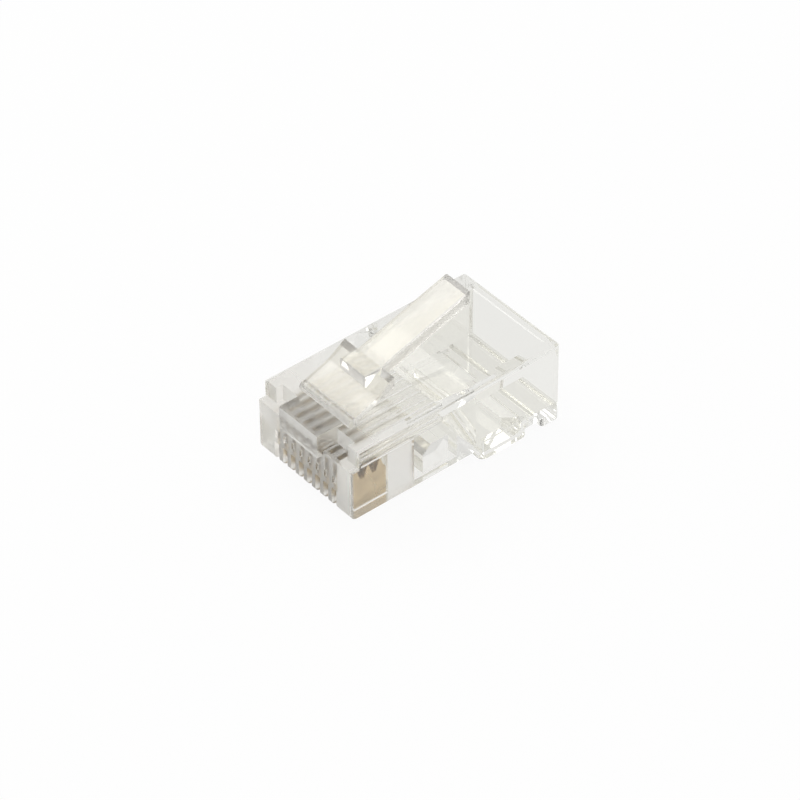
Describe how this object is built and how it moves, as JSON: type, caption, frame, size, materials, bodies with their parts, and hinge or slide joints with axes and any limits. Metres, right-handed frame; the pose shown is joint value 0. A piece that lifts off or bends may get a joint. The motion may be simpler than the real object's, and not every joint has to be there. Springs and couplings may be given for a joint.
{
  "type": "rj45 modular plug",
  "caption": "Clear moulded modular plug for a round data cable, with gold-plated contact blades in a slotted front, an open cable cavity behind and a flexing latch on top.",
  "frame": {"origin": "middle of the underside of the overall box, in the plane of the deeper rear part of the contact side", "axes": "+X across the plug, +Y from the mating face back to the cable entry, +Z from the contact side to the latch side"},
  "size_m": [0.0116, 0.022, 0.0136],
  "materials": {
    "clear_plastic": "clear moulded polycarbonate",
    "gold_plate": "thin gold plating over nickel on stamped bronze"
  },
  "bodies": {
    "plug": {"housing": "clear_plastic", "contact_1": "gold_plate", "contact_2": "gold_plate", "contact_3": "gold_plate", "contact_4": "gold_plate", "contact_5": "gold_plate", "contact_6": "gold_plate", "contact_7": "gold_plate", "contact_8": "gold_plate"},
    "latch": {"latch": "clear_plastic"}
  },
  "joints": [
    {"name": "latch_flex", "type": "hinge", "parent": "plug", "child": "latch", "pos_m": [0, -0.008, 0.00835], "axis": [-1, 0, 0], "range_deg": [0, 18], "stiffness_Nm_per_rad": 0.15}
  ]
}
